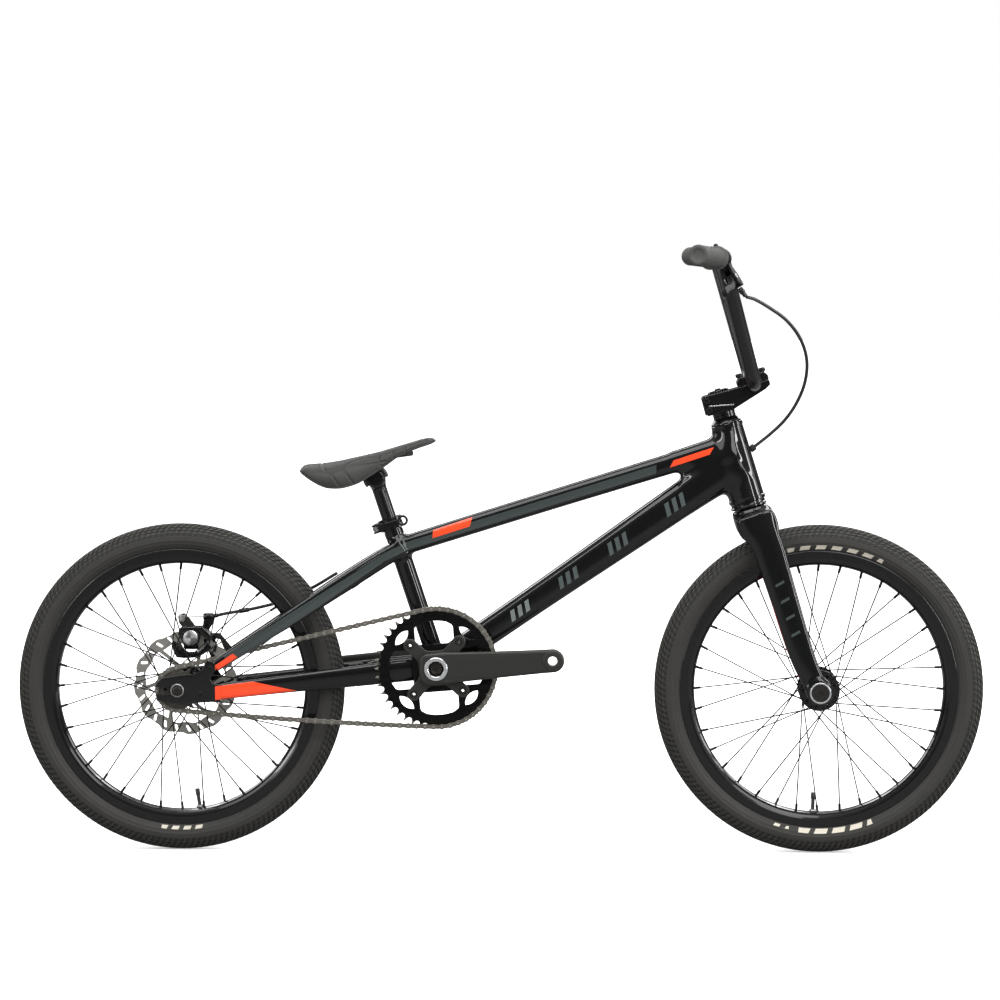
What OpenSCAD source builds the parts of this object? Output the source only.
// BMX race bike with a mechanical rear disc brake.
// +X is forward, +Z is up and the chain side is -Y, which is the rider's right.
// The origin is on the ground, on the centre plane, midway between the axles.

/* [Wheels] */
// Distance between the wheel axles
wheelbase = 962; // [961:0.5:963]
// Outside diameter of the tyres
tyre_d = 495; // [491:1:499]
// Width of the tyres
tyre_w = 45; // [42:0.5:46]
// Number of spokes in each wheel
spokes = 36; // [36:4:36]

/* [Frame] */
// Head angle measured back from upright
head_tilt = 15.3; // [15:0.1:15.6]
// Seat tube angle measured back from upright
seat_tilt = 18.4; // [18:0.1:18.8]
// Height of the bottom bracket centre
bb_height = 281.5; // [280:0.5:283]
// Width of the bottom bracket shell
bb_width = 68; // [67:0.5:68]
// Outside diameter of the seat tube
seat_tube_d = 28.6; // [28:0.1:30]
// Diameter of the seatpost
seatpost_d = 22.2; // [22.2, 25.4]

/* [Fork and bars] */
// Diameter of the fork steerer
steerer_d = 28.6; // [28.6:0.1:28.6]
// Rise of the handlebar along its uprights
bar_rise = 191.8; // [185:0.5:195]
// Diameter of the handlebar tube
bar_d = 22.2; // [22.2:0.1:22.2]
// Wall of the handlebar tube
bar_wall = 1.6; // [1.2:0.1:2]
// Length of the grips
grip_length = 135; // [125:1:138]

/* [Drive] */
// Teeth on the chainring
ring_teeth = 44; // [44:1:44]
// Teeth on the sprocket
cog_teeth = 16; // [16:1:16]
// Length of the crank arms
crank_length = 175; // [170:2.5:180]
// Angle of the right crank above level
crank_angle = 4.45; // [0:0.05:10]
// Distance of the chain from the centre plane
chainline = 45; // [45:0.5:45.5]
// Links in the chain
chain_links = 92; // [92:2:92]

/* [Brake] */
// Diameter of the brake rotor
rotor_d = 160; // [158:1:160]

/* [Hidden] */
$fn = 64;

// Main places on the bike
origin = [0, 0, 0];
half_base = wheelbase / 2;
tyre_r = tyre_d / 2;
rear_at = [-half_base, 0, tyre_r];
front_at = [half_base, 0, tyre_r];
bb_at = [-92.4, 0, bb_height];
steer_at = [338.3, 0, 658];

// Front axle in the steering frame
steer_to_axle = front_at - steer_at;
fork_axle_at = [steer_to_axle[0] * cos(head_tilt) + steer_to_axle[2] * sin(head_tilt), 0,
    -steer_to_axle[0] * sin(head_tilt) + steer_to_axle[2] * cos(head_tilt)];

// Ends of the head tube in the steering frame
head_bottom = -132.8;
head_top = -11.3;
// Lengths up the seat tube line from the bottom bracket
seat_tube_top = 232;
post_top = 297.5;
saddle_at = bb_at + [-sin(seat_tilt), 0, cos(seat_tilt)] * post_top;

steerer_r = steerer_d / 2;
bar_r = bar_d / 2;
post_r = seatpost_d / 2;
half_bb = bb_width / 2;
rear_axle_r = 7.5;
axle_end_r = 5;
front_axle_r = 10;
spindle_r = 15;

// Radial clearances of close and easy fits
slip = 0.03;
clear = 0.05;

// ---------- helpers ----------
// Puts z along the line from start to end
module along(start, end) {
    v = end - start;
    translate(start) rotate([0, acos(v[2] / norm(v)), atan2(v[1], v[0])]) children();
}
module rod(start, end, r1, r2 = undef, n = 48) {
    along(start, end)
        cylinder(h = norm(end - start), r1 = r1, r2 = is_undef(r2) ? r1 : r2, $fn = n);
}
// Cylinder across the bike from y0 to y1
module ycyl(centre, y0, y1, r, n = 64) {
    translate([centre[0], y0, centre[2]]) rotate([-90, 0, 0]) cylinder(h = y1 - y0, r = r, $fn = n);
}
module yring(centre, y0, y1, outer_r, inner_r, n = 64) {
    difference() {
        ycyl(centre, y0, y1, outer_r, n);
        ycyl(centre, y0 - 1, y1 + 1, inner_r, n);
    }
}
// Slab from y0 to y1; its outline points are x, z
module plate(y0, y1) {
    translate([0, y1, 0]) rotate([90, 0, 0]) linear_extrude(y1 - y0) children();
}
module sides() {
    children();
    mirror([0, 1, 0]) children();
}
// Copies spaced evenly about the y axis
module around(count, first = 0) {
    for (k = [0:count - 1]) rotate([0, first + k * 360 / count, 0]) children();
}
// Bolt along z; shank, head and hexagon socket are each [start, length, radius]
module hex_bolt(shank, head, socket) {
    difference() {
        for (part = [shank, head])
            translate([0, 0, part[0]]) cylinder(h = part[1], r = part[2]);
        translate([0, 0, socket[0]]) cylinder(h = socket[1], r = socket[2], $fn = 6);
    }
}
// Cable through a list of points, with a ball at each inner one
module cable(points, ball_r, ball_n) {
    last = len(points) - 2;
    for (k = [0:last]) rod(points[k], points[k + 1], 2.5, n = 24);
    for (k = [1:last]) translate(points[k]) sphere(r = ball_r, $fn = ball_n);
}
// Steering frame: z runs up the steering axis
module on_steering() { translate(steer_at) rotate([0, -head_tilt, 0]) children(); }
// Seat tube frame: z runs up the seat tube from the bottom bracket
module on_seat_tube() { translate(bb_at) rotate([0, -seat_tilt, 0]) children(); }

// ---------- frame ----------
// Stations along the right stays: x, y, z, height, width of the segment that starts there
chain_stay = [[-100, -20, 279, 38, 15], [-180, -33, 271, 32, 15], [-310, -40, 257, 28, 13],
    [-425, -57, 243, 24]];
seat_stay = [[-158, -9, 453, 27, 14], [-232, -33, 407, 26, 13], [-345, -57, 334.5, 23, 11],
    [-428, -58.1, 281, 20]];
gusset_outline = [[277, 571.5], [290, 596], [340, 612], [352, 580], [300, 545], [268, 560]];
dropout_outline = [[-416, 228], [-470, 226], [-511, 229], [-513, 262], [-500, 268],
    [-455, 272], [-436, 294], [-418, 286], [-430, 262], [-414, 256]];

// Flat-sided stay whose segments overrun each station
module stay(stations) {
    overrun = 3;
    for (k = [0:len(stations) - 2]) {
        a = stations[k];
        b = stations[k + 1];
        dx = b[0] - a[0];
        dy = b[1] - a[1];
        length = norm([dx, dy]);
        translate([a[0], a[1], 0]) rotate([0, 0, atan2(dy, dx)]) plate(-a[4] / 2, a[4] / 2)
            polygon([[-overrun, a[2] - a[3] / 2], [length + overrun, b[2] - b[3] / 2],
                [length + overrun, b[2] + b[3] / 2], [-overrun, a[2] + a[3] / 2]]);
    }
}
module frame() {
    slot_r = axle_end_r + clear;
    color("#15161a") difference() {
        union() {
            // Head, top and down tubes, with a gusset between the last two
            on_steering() translate([0, 0, head_bottom])
                cylinder(h = head_top - head_bottom, r1 = 27.5, r2 = 23.5);
            rod([-150, 0, 459.9], [349, 0, 615.3], 15, 16.5);
            rod([-84, 0, 284.6], [357, 0, 589.5], 21.5, 26);
            plate(-14, 14) polygon(gusset_outline);
            // Seat tube and bottom bracket shell
            on_seat_tube() cylinder(h = seat_tube_top, r = seat_tube_d / 2);
            ycyl(bb_at, -half_bb, half_bb, 22);
            sides() {
                stay(chain_stay);
                stay(seat_stay);
                plate(-61, -55.2) polygon(dropout_outline);
            }
            // Bridges between the seat stays and between the chain stays
            ycyl([-222, 0, 412], -34, 34, 8);
            ycyl([-205, 0, 268], -34, 34, 9);
            // Brake mount block on the left stay
            translate([-437, 52, 277]) cube([18, 12.1, 18]);
        }
        // Head tube bore and its two bearing seats
        on_steering() {
            translate([0, 0, head_bottom - 1]) cylinder(h = 130, r = 19.5);
            translate([0, 0, head_bottom - 1]) cylinder(h = 9, r = 23.5);
            translate([0, 0, head_top - 8]) cylinder(h = 9, r = 20.9);
        }
        // Hollows of the top and down tubes
        rod([-158, 0, 457.4], [330, 0, 609.4], 13.2, 14.6);
        rod([-78, 0, 288.7], [339, 0, 577], 19.3, 23.8);
        // Seat tube bore and clamp slit
        on_seat_tube() {
            translate([0, 0, 24]) cylinder(h = seat_tube_top, r = post_r + clear);
            translate([-20, -1.5, 190]) cube([20, 3, 60]);
        }
        // Bottom bracket bore
        ycyl(bb_at, -half_bb - 1, half_bb + 1, 18.5);
        // Axle slots, open at the rear
        sides() {
            ycyl(rear_at, -62, -54, slot_r);
            translate([-520, -62, tyre_r - slot_r]) cube([520 - half_base, 8, 2 * slot_r]);
        }
        // Hole for the brake cable in the head tube
        on_steering() rod([0, 0, -63], [60, 0, -51], 3);
    }
}

// Seat clamp skewer frame: origin behind the seat tube on the skewer line
skewer_at = [-22, 0, seat_tube_top - 7];
clamp_pin_y = -19;
module on_skewer() { on_seat_tube() translate(skewer_at) children(); }

module seat_clamp_collar() {
    color("#1b1b1d") on_seat_tube() difference() {
        union() {
            translate([0, 0, seat_tube_top - 16]) cylinder(h = 18, r = 18.3);
            translate([-27, -9, seat_tube_top - 14]) cube([14, 18, 14]);
        }
        // Bore, with a narrower opening above the tube end
        translate([0, 0, seat_tube_top - 20]) cylinder(h = 20, r = seat_tube_d / 2 + slip);
        translate([0, 0, seat_tube_top - 20]) cylinder(h = 30, r = 12.4);
        // Slit and skewer hole
        translate([-30, -1.5, seat_tube_top - 20]) cube([20, 3, 30]);
        ycyl(skewer_at, -12, 12, 2.6);
    }
}
module seat_clamp_skewer() {
    color("silver") on_skewer() {
        ycyl(origin, -17.5, 16, 2.5);
        ycyl(origin, 9.1, 15.1, 6);
        // Cross pin that the lever turns on
        translate([0, clamp_pin_y, -5.5]) cylinder(h = 11, r = 2.6);
        ycyl(origin, -13, -9.2, 6);
    }
}
module seat_clamp_lever() {
    color("#3a3b3e") on_skewer() difference() {
        union() {
            translate([0, clamp_pin_y, -7]) cylinder(h = 14, r = 5.8);
            translate([-2, -25, -4.5]) cube([42, 4.4, 9]);
            translate([38, -25, -7.5]) cube([12, 4.4, 15]);
        }
        // Pin hole, skewer slot and window in the tip
        translate([0, clamp_pin_y, -8]) cylinder(h = 16, r = 2.6 + clear);
        translate([-8, -28, -3.6]) cube([10.7, 18, 7.4]);
        translate([41, -26, -4]) cube([6, 8, 8]);
    }
}
module bb_cups() {
    color("#202124") sides() difference() {
        union() {
            ycyl(bb_at, -45, -half_bb - 0.05, 23.5);
            ycyl(bb_at, -half_bb - 0.5, -22, 18.45);
        }
        ycyl(bb_at, -50, -20, 16.5);
        ycyl(bb_at, -44.3, -37, 21);
    }
}
module bb_bearings() {
    color("silver") sides() yring(bb_at, -44.2, -37.05, 20.97, spindle_r + slip);
}
module headset_bearings() {
    // Each row: bottom z, height, outer radius, inner radius
    rings = [[head_bottom + 0.1, 7.7, 23.45, 16.55],
        [head_top - 7.9, 7.8, 20.85, steerer_r + clear]];
    color("silver") on_steering() for (ring = rings) translate([0, 0, ring[0]]) difference() {
        cylinder(h = ring[1], r = ring[2]);
        translate([0, 0, -1]) cylinder(h = 10, r = ring[3]);
    }
}

// ---------- rear brake ----------
pad_at = [-471.5, 0, 317.5];
pad_r = 10;
push_rod_r = 6;
caliper_bolts_at = [[-428, 0, 286], [-446, 0, 311]];
cable_y = 71.5;
cable_z = 347;

module caliper_bracket() {
    color("#1d1d1f") difference() {
        plate(64.2, 68.2) polygon([[-440, 276], [-412, 270], [-410, 298], [-430, 322],
            [-451, 322], [-451, 300]]);
        for (place = caliper_bolts_at) ycyl(place, 50, 80, 2.6);
        plate(60, 80) polygon([[-432, 296], [-422, 292], [-430, 312], [-438, 314]]);
    }
}
module caliper_body() {
    body_outline = [[-500, 300], [-494, 286], [-462, 286], [-449, 297], [-440, 300],
        [-440, 322], [-454, 334], [-488, 334], [-500, 324]];
    boss_outline = [[-486, 296], [-458, 296], [-452, 304], [-452, 329], [-486, 329]];
    cable_stop = [[-458, 316], [-451.5, 316], [-444, 330], [-440, 352], [-456, 352]];
    color("#222326") difference() {
        union() {
            plate(33.2, 64.1) polygon(body_outline);
            plate(64, 74) polygon(boss_outline);
            plate(69, 74) polygon(cable_stop);
        }
        // Slot for the rotor, open towards the axle
        intersection() {
            ycyl(rear_at, 40, 46.2, 83);
            translate([-600, 30, 200]) cube([300, 30, 200]);
        }
        // Pocket of the pads and bore of the push rod
        ycyl(pad_at, 32, 54, pad_r + 0.1);
        ycyl(pad_at, 50, 80, push_rod_r + clear);
        // Cable hole and its wider mouth
        translate([-460, cable_y, cable_z]) rotate([0, 90, 0]) cylinder(h = 30, r = 1.7);
        translate([-443.2, cable_y, cable_z]) rotate([0, 90, 0]) cylinder(h = 30, r = 3.4);
    }
}
module brake_pad_fixed() { color("#8f9296") ycyl(pad_at, 35.6, 41.2, pad_r); }
module brake_pad_moving() { color("#8f9296") ycyl(pad_at, 45, 48.5, pad_r); }
module caliper_knob() {
    color("silver") difference() {
        union() {
            ycyl(pad_at, 31.2, 33.1, 11.5);
            ycyl(pad_at, 33, 35.5, 9.9);
        }
        // Hexagon socket and notches round the edge
        ycyl(pad_at, 30, 33, 3, 6);
        translate(pad_at) around(12) ycyl([0, 0, 12], 30, 34, 1.3);
    }
}
module caliper_bolts() {
    color("#101010") for (place = caliper_bolts_at) translate(place) rotate([-90, 0, 0])
        hex_bolt(shank = [58, 12, 2.5], head = [68.3, 4.9, 4.5], socket = [71, 4, 2.4]);
}
module caliper_arm() {
    arm_outline = [[-482, 313], [-471.5, 307.5], [-461, 313], [-462, 323], [-478, 344],
        [-486, 352], [-496, 348], [-494, 336], [-482, 322]];
    color("#2b2c2f") union() {
        // Push rod of the moving pad, pull arm and the boss at the arm's end
        ycyl(pad_at, 49.6, 76, push_rod_r);
        plate(74.4, 78.4) polygon(arm_outline);
        ycyl([-488, 0, 343], 76, 82, 4.4);
    }
}
module brake_cable_rear() {
    // Casing from the caliper to the left seat stay, then the bare wire
    color("#141416") {
        cable([[-442.4, cable_y, cable_z], [-420, 69, 352], [-378, 63, 360],
            [-333.5, 58, 372], [-288, 48, 393], [-248, 38.5, 417]], 2.7, 24);
        rod([-483, 71.6, 346], [-440, cable_y, cable_z], 0.8, n = 16);
    }
}

// ---------- rear axle ----------
module rear_axle() {
    color("#b9bbbd") {
        ycyl(rear_at, -55.1, 55.1, rear_axle_r);
        ycyl(rear_at, -61, 61, axle_end_r);
    }
}
module rear_axle_bolts() {
    color("#6b6d70") sides() {
        yring(rear_at, -63, -61.05, 10, 3.2);
        ycyl(rear_at, -69, -63, 7.4, 6);
    }
}

// ---------- chain ----------
pitch = 12.7;
lower_sag = 3;
function pitch_radius(teeth) = pitch / (2 * sin(180 / teeth));
function on_circle(centre, r, a) = [centre[0] + r * cos(a), centre[2] + r * sin(a)];
ring_r = pitch_radius(ring_teeth);
cog_r = pitch_radius(cog_teeth);
ring_step = 360 / ring_teeth;
cog_step = 360 / cog_teeth;

// Angles where the straight runs leave the ring, and length of a run
cog_to_ring = [bb_at[0] - rear_at[0], bb_at[2] - rear_at[2]];
centre_distance = norm(cog_to_ring);
centre_angle = atan2(cog_to_ring[1], cog_to_ring[0]);
contact_angle = acos(-(ring_r - cog_r) / centre_distance);
upper_angle = centre_angle + contact_angle;
lower_angle = centre_angle - contact_angle;
run = sqrt(centre_distance * centre_distance - pow(ring_r - cog_r, 2));

// Links on each stretch of the loop
ring_links = floor((upper_angle - lower_angle) / ring_step + 0.25);
upper_links = floor(run / pitch);
cog_start = upper_angle + ((upper_links + 1) * pitch - run) / cog_r * 180 / PI;
cog_rollers = floor((lower_angle + 360 - cog_start) / cog_step) + 1;
lower_rollers = chain_links - (ring_links + 1) - upper_links - cog_rollers;

// Roller centres as x, z, in order round the loop
ring_top = on_circle(bb_at, ring_r, upper_angle);
upper_dir = (on_circle(rear_at, cog_r, upper_angle) - ring_top) / run;
last_cog = on_circle(rear_at, cog_r, cog_start + (cog_rollers - 1) * cog_step);
last_ring = on_circle(bb_at, ring_r, upper_angle - ring_links * ring_step);
rollers = concat(
    [for (k = [0:upper_links]) ring_top + upper_dir * pitch * k],
    [for (k = [0:cog_rollers - 1]) on_circle(rear_at, cog_r, cog_start + k * cog_step)],
    [for (k = [1:lower_rollers]) let (t = k / (lower_rollers + 1))
        last_cog + (last_ring - last_cog) * t + [0, -4 * lower_sag * t * (1 - t)]],
    [for (k = [0:ring_links - 1])
        on_circle(bb_at, ring_r, upper_angle - (ring_links - k) * ring_step)]);

module chain() {
    count = len(rollers);
    color("#6f6a60") for (k = [0:count - 1]) {
        a = rollers[k];
        v = rollers[(k + 1) % count] - a;
        // Inner and outer links alternate
        plate_y = (k % 2 == 0) ? 2.2 : 3.4;
        translate([a[0], -chainline, a[1]]) rotate([0, -atan2(v[1], v[0]), 0]) {
            for (side = [-1, 1]) translate([-3.6, side * plate_y - 0.5, -3.6])
                cube([norm(v) + 7.2, 1, 7.2]);
            ycyl(origin, -3.9, 3.9, 1.7, 16);
        }
    }
}

// ---------- fork and headset ----------
leg_outline = [[-16, -146], [-19, -160], [-12, -200], [-6, -283], [-2, -371], [6, -418],
    [40, -416], [37, -371], [35, -283], [34, -200], [31, -160], [24, -146]];
// Crown outline: x, distance down
crown_outline = [[-20, -24], [24, -24], [27, -10], [24, 8], [-18, 8], [-23, -10]];

module fork() {
    color("#17181c") on_steering() difference() {
        union() {
            // Steerer, swelling to its foot
            cylinder(h = 46, r = steerer_r);
            translate([0, 0, -62]) cylinder(h = 100, r = steerer_r);
            translate([0, 0, -136]) cylinder(h = 76, r1 = 16.5, r2 = steerer_r);
            translate([0, 0, -139.5]) cylinder(h = 20, r = 16.5);
            // Crown
            translate([0, 0, -142]) cylinder(h = 5, r = 25.5);
            translate([0, 0, -164]) cylinder(h = 22.5, r = 27.5);
            translate([4, -45, -170]) rotate([-90, 0, 0]) linear_extrude(90)
                polygon(crown_outline);
            // Splayed legs and axle ends
            sides() {
                rotate([-1.6, 0, 0]) plate(-54.5, -40.5) polygon(leg_outline);
                ycyl(fork_axle_at, -64, -50.2, 18);
            }
        }
        // Axle hole, steerer bore and the level trim of the steerer top
        ycyl(fork_axle_at, -70, 70, front_axle_r + slip);
        translate([0, 0, -175]) cylinder(h = 260, r = 11.3);
        translate([0, 0, 36]) cylinder(h = 30, r = 20);
    }
}
module front_axle() {
    on_steering() translate(fork_axle_at) {
        color("silver") ycyl(origin, -64, 64, front_axle_r);
        // Recessed head on the right
        color("silver") difference() {
            ycyl(origin, -68, -64.1, 15.6);
            ycyl(origin, -69, -66, 13.6);
        }
        // Dark hexagon-drive plug in the head, and the nut on the other end
        color("#1c1c1e") difference() {
            ycyl(origin, -67.5, -65.9, 13.5);
            ycyl(origin, -69, -67, 4, 6);
        }
        color("#1c1c1e") ycyl(origin, 64.05, 67.95, 15);
    }
}
module headset_cover() {
    color("#1a1b1f") on_steering() difference() {
        translate([0, 0, head_top + 0.15]) cylinder(h = 9, r1 = 23.4, r2 = 17.5);
        translate([0, 0, -20]) cylinder(h = 40, r = steerer_r + slip);
    }
}
module headset_spacers() {
    color("#232428") on_steering() for (k = [0:1]) difference() {
        translate([0, 0, -2.1 + k * 4.35]) cylinder(h = 4.3, r = 17);
        translate([0, 0, -20]) cylinder(h = 60, r = steerer_r + slip);
    }
}
module top_cap() {
    // The wide disc takes the place of the shank
    color("#1d1d20") on_steering()
        hex_bolt(shank = [37.1, 3, 16], head = [40, 2.4, 4.4], socket = [41, 3, 2.4]);
}

// ---------- stem, in the steering frame ----------
bar_at = [54, 0, 36.8];
clamp_bolt_x = -20.5;
clamp_bolt_heights = [14.5, 29.5];

// Places for the four bolts of the bar clamp
module at_cap_bolts() {
    for (x = [36.4, 71.6]) for (y = [-17, 17]) translate([x, y, 0]) children();
}
module stem_body() {
    side_outline = [[-26.5, 10], [-23.5, 6.8], [15, 6.8], [70, 24], [78, 29], [78, 36.4],
        [-1, 36.9], [-24, 36.9], [-26.5, 34]];
    color("#1b1c1f") on_steering() difference() {
        plate(-26, 26) polygon(side_outline);
        translate([0, 0, -10]) cylinder(h = 60, r = steerer_r + slip);
        ycyl(bar_at, -30, 30, bar_r + slip);
        // Clamp slit and the bolt holes
        translate([-30, -1.5, 0]) cube([30, 3, 50]);
        for (z = clamp_bolt_heights) ycyl([clamp_bolt_x, 0, z], -30, 30, 3 + clear);
        at_cap_bolts() translate([0, 0, 10]) cylinder(h = 40, r = 3 + clear);
        // Side windows
        sides() translate([10, -30, 14]) rotate([0, -17, 0]) cube([30, 7, 9]);
    }
}
module stem_cap() {
    color("#1b1c1f") on_steering() difference() {
        plate(-26, 26) polygon([[30, 37.2], [78, 37.2], [78, 44], [73, 50], [35, 50], [30, 44]]);
        ycyl(bar_at, -30, 30, bar_r + slip);
        at_cap_bolts() translate([0, 0, 10]) cylinder(h = 60, r = 3 + clear);
    }
}
module stem_bolts() {
    color("#2a2b2d") on_steering() {
        at_cap_bolts()
            hex_bolt(shank = [27, 24, 3], head = [50.1, 5, 4.9], socket = [52.5, 4, 2.5]);
        for (z = clamp_bolt_heights) translate([clamp_bolt_x, 0, z]) rotate([-90, 0, 0])
            hex_bolt(shank = [-27, 50, 3], head = [-29.5, 3.4, 4.9], socket = [-31, 3.5, 2.5]);
    }
}

// ---------- handlebar and grips ----------
// Right half of the bar in the steering frame: bends, then both ends of the grip line
low_bend = bar_at + [0, -75, 0];
high_bend = bar_at + [0, -193.5, bar_rise];
grip_in = [45.6, -235, 40.4 + bar_rise];
grip_out = [18.7, -368, 51.9 + bar_rise];
grip_line = norm(grip_out - grip_in);
grip_dir = (grip_out - grip_in) / grip_line;

// Rod across the centre plane from -half_length to half_length
module cross_rod(x, z, half_length, r) {
    rod([x, -half_length, z], [x, half_length, z], r);
}
module handlebar() {
    crossbar_z = 165;
    bore_r = bar_r - bar_wall;
    color("#1a1b1d") on_steering() difference() {
        union() {
            cross_rod(bar_at[0], bar_at[2], 75, bar_r);
            sides() {
                translate(low_bend) sphere(r = bar_r + 0.25);
                rod(low_bend, high_bend, bar_r);
                translate(high_bend) sphere(r = bar_r + 0.25);
                rod(high_bend, grip_out, bar_r);
            }
            cross_rod(bar_at[0], crossbar_z, 151, 8);
        }
        // Hollow tubes, open at the ends under the grips
        cross_rod(bar_at[0], bar_at[2], 75, bore_r);
        sides() {
            rod(low_bend, high_bend, bore_r);
            rod(high_bend, grip_out + grip_dir, bore_r);
        }
        cross_rod(bar_at[0], crossbar_z, 148, 6.6);
    }
}
// Grip frame: z runs outward along the right grip
module on_grip() { on_steering() along(grip_in, grip_out) children(); }
module grip() {
    on_grip() difference() {
        union() {
            cylinder(h = grip_length - 0.6, r = 14.4);
            cylinder(h = 4, r = 17.5);
            translate([0, 0, grip_length]) cylinder(h = 4, r1 = 14.6, r2 = 13);
            translate([0, 0, grip_length - 3]) cylinder(h = 3.2, r = 14.6);
        }
        // Bore, stopping just past the bar end
        translate([0, 0, -1]) cylinder(h = grip_line + 1.1, r = bar_r + slip);
    }
}
module grip_right() { color("#6b6b68") grip(); }
module grip_left() { color("#6b6b68") mirror([0, 1, 0]) grip(); }

// ---------- brake lever, on the right ----------
lever_pivot = [34, 0, -17];
pivot_r = 2.5;
// Lever frame: z outward along the grip, x away from the bar, y along the pivot
module on_lever() { on_grip() rotate([0, 0, 16]) children(); }

module lever_bracket() {
    color("#191a1c") on_lever() difference() {
        union() {
            translate([0, 0, -33]) cylinder(h = 15, r = 15.2);
            translate([10, -8, -33]) cube([30, 16, 21]);
            translate([30, -8, -45]) cube([18, 16, 18]);
        }
        // Bar bore, lever slot, pivot hole and cable hole
        translate([0, 0, -40]) cylinder(h = 30, r = bar_r + slip);
        translate([24, -4.2, -27]) cube([30, 8.4, 20]);
        ycyl(lever_pivot, -12, 12, pivot_r + slip);
        rod([40, 0, -34.5], [60, 1, -43.5], 1.4);
    }
}
module lever_pivot_bolt() {
    color("silver") on_lever() {
        ycyl(lever_pivot, -8.2, 8.4, pivot_r);
        ycyl(lever_pivot, 8.1, 9.7, 4);
        ycyl(lever_pivot, -9.8, -8.2, 4);
    }
}
module brake_lever() {
    blade_outline = [[29, -24], [29, -10], [38, 0], [46, 30], [49, 60], [53, 92], [60, 106],
        [66, 104], [63, 92], [58, 60], [55, 30], [46, -4], [45, -24]];
    color("#1e1f22") on_lever() difference() {
        plate(-4, 4) polygon(blade_outline);
        ycyl(lever_pivot, -12, 12, pivot_r + 0.06);
    }
}
module barrel_adjuster() {
    color("#2c2d30") on_lever() difference() {
        union() {
            rod([50.2, 0.2, -39.1], [58, 1, -42.5], 4.4);
            rod([57, 0.9, -42.1], [63, 1.5, -45.1], 3.4);
        }
        rod([44, -0.4, -36.4], [70, 2.2, -48.6], 1.2);
    }
}
module brake_cable_front() {
    // From the lever to the head tube
    color("#141416") cable([[364.8, -198.8, 838], [378, -178, 834.5], [400, -150, 826],
        [437, -100, 786], [460, -55, 738], [454, -22, 684], [421, -5, 637],
        [381.8, 0, 611]], 3.2, 64);
}

// ---------- wheels ----------
// Revolved profiles hold radius, distance towards the chain side
tyre_mid_r = tyre_r - tyre_w / 2;
front_valve_angle = 182.5;
rear_valve_angle = 171.8;
rim_outline = [[187, -7], [187, 7], [191, 12], [197, 14.2], [209, 14.6], [209, 11.9],
    [204, 11.6], [202.5, 9], [201.2, 4], [201.2, -4], [202.5, -9], [204, -11.6],
    [209, -11.9], [209, -14.6], [197, -14.2], [191, -12]];
rim_hollow = [[189, -5.5], [189, 5.5], [193, 10.5], [198.5, 12.2], [199.4, 8],
    [199.4, -8], [198.5, -12.2], [193, -10.5]];

// Distances of the spoke flanges from the centre plane
front_flange_y = 29;
rear_right_flange_y = 21;
rear_left_flange_y = 29;

module tyre(hub) {
    translate(hub) rotate([90, 0, 0]) rotate_extrude($fn = 128) difference() {
        union() {
            translate([tyre_mid_r, 0]) circle(r = tyre_w / 2, $fn = 64);
            translate([205, -11.5]) square([12, 23]);
        }
        // Inside of the tyre, its opening and room for the rim walls
        translate([tyre_mid_r, 0]) circle(r = tyre_w / 2 - 2.8, $fn = 64);
        translate([190, -8.8]) square([24, 17.6]);
        for (y = [11.55, -23.55]) translate([180, y]) square([29.3, 12]);
    }
}
// Inner tube with its valve stem
module inner_tube(hub, valve_angle) {
    translate(hub) {
        rotate([90, 0, 0]) rotate_extrude($fn = 128) translate([tyre_mid_r + 1, 0])
            difference() {
                circle(r = tyre_w / 2 - 5, $fn = 48);
                circle(r = tyre_w / 2 - 6.2, $fn = 48);
            }
        rotate([0, valve_angle, 0]) {
            translate([0, 0, 160]) cylinder(h = 50, r = 2.9);
            translate([0, 0, 158]) cylinder(h = 10, r = 3.9);
        }
    }
}
module rim(hub, valve_angle) {
    translate(hub) difference() {
        rotate([90, 0, 0]) rotate_extrude($fn = 128) difference() {
            polygon(rim_outline);
            polygon(rim_hollow);
        }
        rotate([0, valve_angle, 0]) translate([0, 0, 150]) cylinder(h = 80, r = 3.1);
    }
}
// Crossed spokes of a wheel, or the nipples at their rim ends
module lacing(hub, right_y, left_y, nipples = false) {
    step = 720 / spokes;
    flange_r = 26.5;
    rim_end_r = 189.5;
    translate(hub) for (side = [-1, 1]) for (k = [0:spokes / 2 - 1]) {
        sweep = (k % 2 == 0) ? 1 : -1;
        shift = 2.4 * sweep;
        hub_angle = step * k + (side > 0 ? step / 2 : 0);
        rim_angle = hub_angle + 60 * sweep;
        flange_y = side < 0 ? right_y : left_y;
        start = [flange_r * cos(hub_angle), side * (flange_y + shift), flange_r * sin(hub_angle)];
        end = [rim_end_r * cos(rim_angle), side * (2.4 + shift / 2), rim_end_r * sin(rim_angle)];
        dir = (end - start) / norm(end - start);
        if (nipples) rod(end - dir * 13, end, 2, n = 16);
        else rod(start, end - dir * 4, 1, n = 16);
    }
}
module front_tyre() { color("#34332f") tyre(front_at); }
module rear_tyre() { color("#34332f") tyre(rear_at); }
module front_tube() { color("#1a1a1a") inner_tube(front_at, front_valve_angle); }
module rear_tube() { color("#1a1a1a") inner_tube(rear_at, rear_valve_angle); }
module front_rim() { color("#17181a") rim(front_at, front_valve_angle); }
module rear_rim() { color("#17181a") rim(rear_at, rear_valve_angle); }
module front_spokes() { color("#1b1b1d") lacing(front_at, front_flange_y, front_flange_y); }
module rear_spokes() {
    color("#1b1b1d") lacing(rear_at, rear_right_flange_y, rear_left_flange_y);
}
module front_nipples() {
    color("#121214") lacing(front_at, front_flange_y, front_flange_y, nipples = true);
}
module rear_nipples() {
    color("#121214") lacing(rear_at, rear_right_flange_y, rear_left_flange_y, nipples = true);
}

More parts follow.
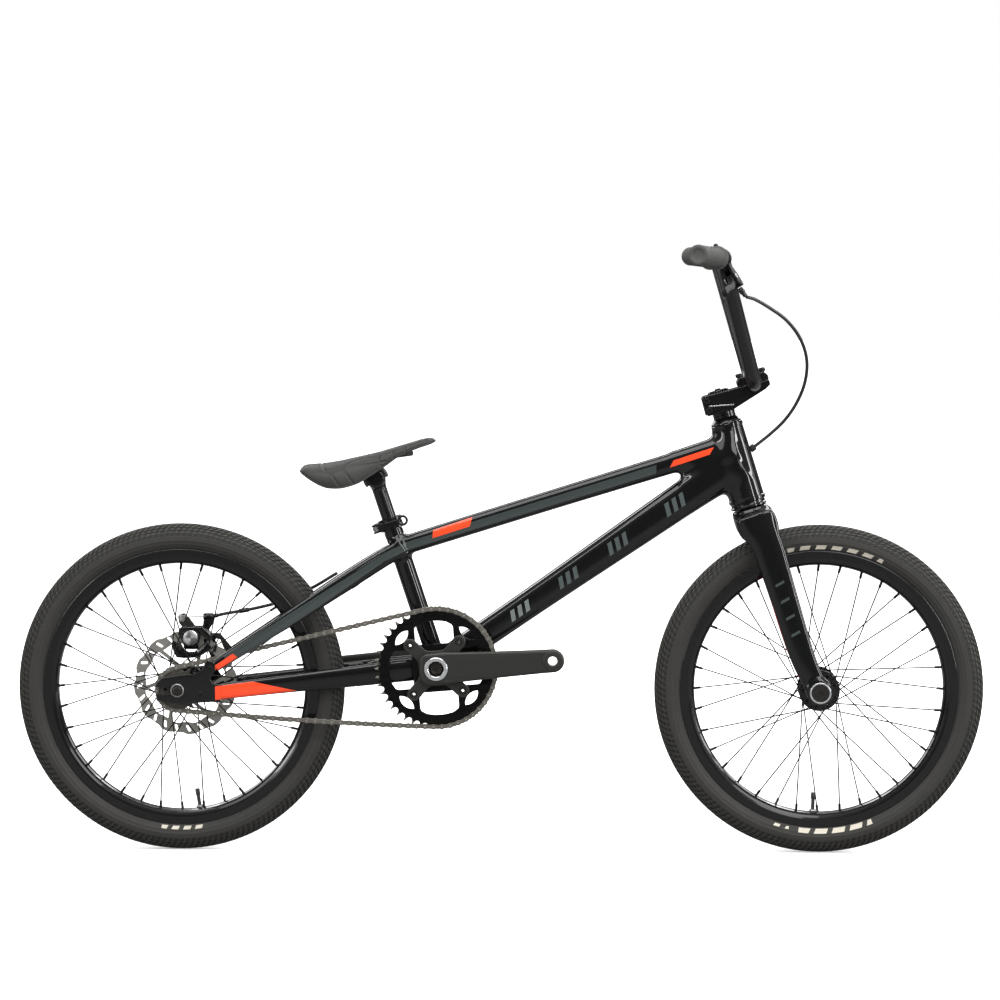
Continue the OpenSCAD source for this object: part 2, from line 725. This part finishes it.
// ---------- hubs ----------
front_hub_outline = [[12.5, -32], [16.05, -32], [16.05, -42], [21, -42], [22, -33],
    [30.5, -31], [31, -27.2], [24, -26.5], [17.5, -20], [16.5, 0], [17.5, 20], [24, 26.5],
    [31, 27.2], [30.5, 31], [22, 33], [21, 42], [16.05, 42], [16.05, 32], [12.5, 32]];
rear_hub_outline = [[9, -30], [14.05, -30], [14.05, -41], [17.2, -41], [17.2, -41.95],
    [27, -41.95], [27, -37], [23, -33], [30.5, -31], [31, -27.2], [24, -26.5], [18.5, -20],
    [18, 0], [19, 12], [24, 18.5], [31, 19.2], [30.5, 23], [22, 24.5], [21, 29],
    [14.05, 29], [14.05, 20], [9, 20]];
front_bore_r = front_axle_r + clear;
rear_bore_r = rear_axle_r + clear;

module hub_shell(hub, outline) {
    translate(hub) rotate([90, 0, 0]) rotate_extrude() polygon(outline);
}
module front_hub() { color("#1d1e21") hub_shell(front_at, front_hub_outline); }
module rear_hub() { color("#1d1e21") hub_shell(rear_at, rear_hub_outline); }
module front_hub_bearings() {
    color("silver") sides() {
        yring(front_at, -41.8, -32.1, 16, front_bore_r);
        yring(front_at, -50, -42.1, 14, front_bore_r);
    }
}
module rear_hub_bearings() {
    color("silver") {
        yring(rear_at, 30.1, 37.5, 14, rear_bore_r);
        yring(rear_at, -28, -20.6, 14, rear_bore_r);
        // Spacer outside the left bearing
        yring(rear_at, 42, 54.8, 11, rear_bore_r);
    }
}
module driver_body() {
    color("#a9abad") {
        yring(rear_at, -54.6, -29.6, 11, rear_bore_r);
        yring(rear_at, -42, -36, 15, 10.9);
        yring(rear_at, -48.5, -41.9, 13.4, 10.9);
    }
}

// ---------- rotor ----------
rotor_bolt_r = 22;
module brake_rotor() {
    color("#8d8f92") translate(rear_at) difference() {
        union() {
            // Braking band, hub ring and slanted arms
            yring(origin, 42, 43.9, rotor_d / 2 - 1.2, rotor_d / 2 - 16.5, 96);
            yring(origin, 42, 43.9, 27, 17.6);
            around(6) translate([0, 42.95, 44]) rotate([0, 16, 0])
                cube([6, 1.9, 46], center = true);
        }
        // Bolt holes, then holes round the band
        around(6, 30) ycyl([0, 0, rotor_bolt_r], 30, 50, 2.6);
        around(30) ycyl([0, 0, 71.5], 30, 50, 2.2);
    }
}
module rotor_bolts() {
    color("#b5b6b8") translate(rear_at) around(6, 30) translate([0, 0, rotor_bolt_r])
        rotate([-90, 0, 0])
            hex_bolt(shank = [41.1, 3, 2.5], head = [43.95, 2, 4], socket = [44.8, 3, 1.8]);
}

// ---------- cog, chainring and cranks ----------
ring_bolt_r = 52;
ring_bolt_hole_r = 4.05;
// Outline of a sprocket with seats cut for the chain rollers
function sprocket(teeth, radius, first_angle) = [for (k = [0:teeth - 1])
    let (step = 360 / teeth, c = first_angle + k * step, seat_r = 4.15, tip_r = radius + 4.4)
    each concat(
        [tip_r * [cos(c - step * 0.44), sin(c - step * 0.44)]],
        [for (b = [80:-40:-80])
            radius * [cos(c), sin(c)] + seat_r * [cos(c + 180 + b), sin(c + 180 + b)]],
        [tip_r * [cos(c + step * 0.44), sin(c + step * 0.44)]])];
module sprocket_plate() { plate(-chainline - 1.4, -chainline + 1.4) children(); }

module cog() {
    color("#77797b") translate(rear_at) sprocket_plate() difference() {
        polygon(sprocket(cog_teeth, cog_r, cog_start));
        circle(r = 13.45);
        for (a = [0:60:300]) rotate(a) translate([19.5, 0]) circle(r = 2.8, $fn = 32);
    }
}
// Opening between two spider arms of the ring
module ring_window() {
    rotate(45) intersection() {
        circle(r = 71, $fn = 96);
        translate([36, -29]) square([90, 58]);
    }
}
module chainring() {
    color("#2a2a2d") translate(bb_at) sprocket_plate() difference() {
        polygon(sprocket(ring_teeth, ring_r, upper_angle));
        circle(r = 24, $fn = 96);
        for (a = [0:90:270]) rotate(crank_angle + 45 + a) {
            translate([ring_bolt_r, 0]) circle(r = ring_bolt_hole_r, $fn = 32);
            ring_window();
            // Lens-shaped opening outside the bolt
            translate([69, 0]) intersection() {
                translate([-13, 0]) circle(r = 19, $fn = 48);
                translate([16, 0]) circle(r = 22, $fn = 48);
            }
        }
    }
}
module chainring_bolts() {
    // Each row: start outward from the chainline, length, radius
    steps = [[-1.6, 8, 4], [-3.6, 2, 6.5], [6.4, 2, 5.5]];
    color("#3b3c3f") translate(bb_at) around(4, -(crank_angle + 45))
        translate([ring_bolt_r, 0, 0]) rotate([90, 0, 0]) difference() {
            for (s = steps) translate([0, 0, chainline + s[0]]) cylinder(h = s[1], r = s[2]);
            translate([0, 0, chainline - 5]) cylinder(h = 20, r = 2.2);
        }
}
// Crank frame: x along the right crank
module on_crank() { translate(bb_at) rotate([0, -crank_angle, 0]) children(); }
module crank_arm() {
    // Boss on the spindle, pedal eye and tapering arm
    ycyl(origin, -66, -46.4, 22);
    ycyl([crank_length, 0, 0], -76, -62, 17.2);
    translate([0, -52.4, 0]) rotate([0, 0, -3.3]) plate(-13, 0)
        polygon([[0, -21.8], [40, -20.6], [crank_length, -17], [crank_length, 17],
            [40, 20.6], [0, 21.8]]);
}
// Spindle bore, its outer recess and the pedal hole
module crank_holes() {
    ycyl(origin, -90, -30, spindle_r + slip);
    ycyl(origin, -70, -64, 17.6);
    ycyl([crank_length, 0, 0], -90, -50, 7.14);
}
module right_crank() {
    arm_end = [ring_bolt_r, 0, 0];
    color("#232325") on_crank() difference() {
        union() {
            crank_arm();
            // Spider
            around(4, 45) {
                translate([10, -51.3, -8]) cube([ring_bolt_r - 10, 4.8, 16]);
                ycyl(arm_end, -51.3, -46.5, 10);
            }
        }
        crank_holes();
        // Bolt holes, each with a shallow recess in the outer face
        around(4, 45) {
            ycyl(arm_end, -60, -40, ring_bolt_hole_r);
            ycyl(arm_end, -60, -51.2, 6);
        }
    }
}
module left_crank() {
    color("#232325") on_crank() rotate([0, 180, 0]) mirror([0, 1, 0]) difference() {
        crank_arm();
        crank_holes();
    }
}
module crank_spindle() {
    color("silver") difference() {
        union() {
            ycyl(bb_at, -66, 66, spindle_r);
            sides() ycyl(bb_at, -67.5, -64.05, 17.5);
        }
        ycyl(bb_at, -80, 80, 11.75);
    }
}

// ---------- seat ----------
saddle_side = [[-299, 578], [-292, 583.5], [-258, 587], [-220, 594.5], [-182, 603.5],
    [-152, 612.5], [-121, 621.7], [-106, 624.7], [-97, 623], [-95.6, 620], [-102, 615.5],
    [-121, 609.5], [-152, 596], [-173, 581], [-190, 570], [-209, 558], [-235, 550.4],
    [-258, 551], [-279, 561], [-296, 573]];
// Left half of the plan, from tail to nose: x, y
saddle_plan = [[-299, 34], [-290, 46], [-272, 54], [-250, 56], [-228, 52], [-205, 42],
    [-182, 32], [-150, 24], [-118, 19], [-102, 16], [-95.6, 9]];

module seatpost() {
    color("#1d1e21") on_seat_tube() difference() {
        union() {
            translate([0, 0, 110]) cylinder(h = post_top - 110, r = post_r);
            ycyl([0, 0, post_top], -15, 15, 14);
        }
        translate([0, 0, 100]) cylinder(h = post_top - 122, r = post_r - 2.2);
    }
}
// Saddle bolt frame: z runs up the bolt from the seatpost head
module on_saddle_bolt() { translate(saddle_at) rotate([0, -12, 0]) children(); }
module saddle() {
    color("#5f5f5c") difference() {
        intersection() {
            plate(-60, 60) polygon(saddle_side);
            translate([0, 0, 500]) linear_extrude(200) polygon(concat(saddle_plan,
                [for (k = [len(saddle_plan) - 1:-1:0]) [saddle_plan[k][0], -saddle_plan[k][1]]]));
            // Crowned top
            translate([-350, 0, 532]) rotate([0, 90, 0]) cylinder(h = 400, r = 120, $fn = 128);
        }
        // Seatpost head, bolt hole and bolt head recess
        ycyl(saddle_at, -70, 70, 14 + clear);
        on_saddle_bolt() {
            cylinder(h = 80, r = 4.1);
            translate([0, 0, 30]) cylinder(h = 80, r = 7.2);
        }
    }
}
module saddle_bolt() {
    color("silver") on_saddle_bolt()
        hex_bolt(shank = [14.4, 16, 4], head = [30.1, 4.5, 7], socket = [31.5, 4, 3]);
}

frame();
seat_clamp_collar();
seat_clamp_skewer();
seat_clamp_lever();
bb_cups();
bb_bearings();
headset_bearings();
caliper_bracket();
caliper_body();
brake_pad_fixed();
caliper_bolts();
brake_cable_rear();
rear_axle();
rear_axle_bolts();
chain();
fork();
front_axle();
headset_cover();
headset_spacers();
top_cap();
stem_body();
stem_cap();
stem_bolts();
handlebar();
grip_right();
grip_left();
lever_bracket();
lever_pivot_bolt();
barrel_adjuster();
brake_cable_front();
brake_lever();
front_tyre();
front_tube();
front_rim();
front_spokes();
front_nipples();
front_hub();
front_hub_bearings();
rear_tyre();
rear_tube();
rear_rim();
rear_spokes();
rear_nipples();
rear_hub();
rear_hub_bearings();
brake_rotor();
rotor_bolts();
driver_body();
cog();
right_crank();
left_crank();
crank_spindle();
chainring();
chainring_bolts();
caliper_arm();
brake_pad_moving();
caliper_knob();
seatpost();
saddle();
saddle_bolt();
